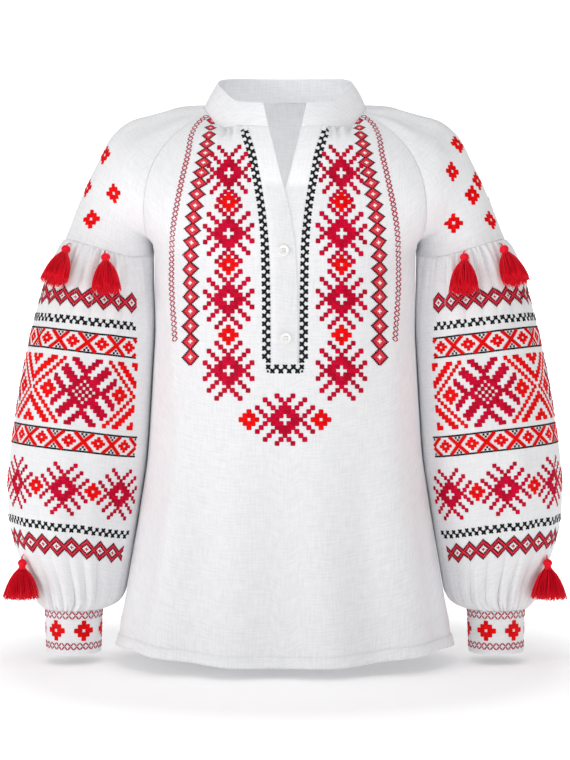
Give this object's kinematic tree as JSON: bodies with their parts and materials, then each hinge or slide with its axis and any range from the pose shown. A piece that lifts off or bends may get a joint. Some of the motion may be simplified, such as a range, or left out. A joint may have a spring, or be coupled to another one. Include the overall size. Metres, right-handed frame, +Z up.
{
  "type": "vyshyvanka shirt",
  "caption": "Folk blouse with stand collar, V placket, raglan heads, full gathered sleeves, narrow cuffs and tassels.",
  "frame": {"origin": "on the centre line between the shoulders, at the height where the collar meets them: where the wearer holds the blouse up", "axes": "+Z up, -Y out of the chest, +X to the wearer's left"},
  "size_m": [0.6314, 0.2479, 0.668],
  "materials": {
    "linen": "white linen, plain weave",
    "sleeve_cloth": "white linen, plain weave",
    "button": "moulded, semi-gloss",
    "tassel": "crimson cotton floss"
  },
  "bodies": {
    "root": {"front_panel": "linen", "back_panel": "linen", "sleeve_upper_left": "linen", "sleeve_upper_right": "linen", "sleeve_lower_left": "sleeve_cloth", "sleeve_lower_right": "sleeve_cloth", "cuff_left": "sleeve_cloth", "cuff_right": "sleeve_cloth", "collar": "linen", "placket_over": "linen", "placket_under": "linen", "button_1": "button", "button_2": "button", "tassel_left_front": "tassel", "tassel_left_side": "tassel", "tassel_left_cuff": "tassel", "tassel_right_front": "tassel", "tassel_right_side": "tassel", "tassel_right_cuff": "tassel"}
  },
  "joints": []
}
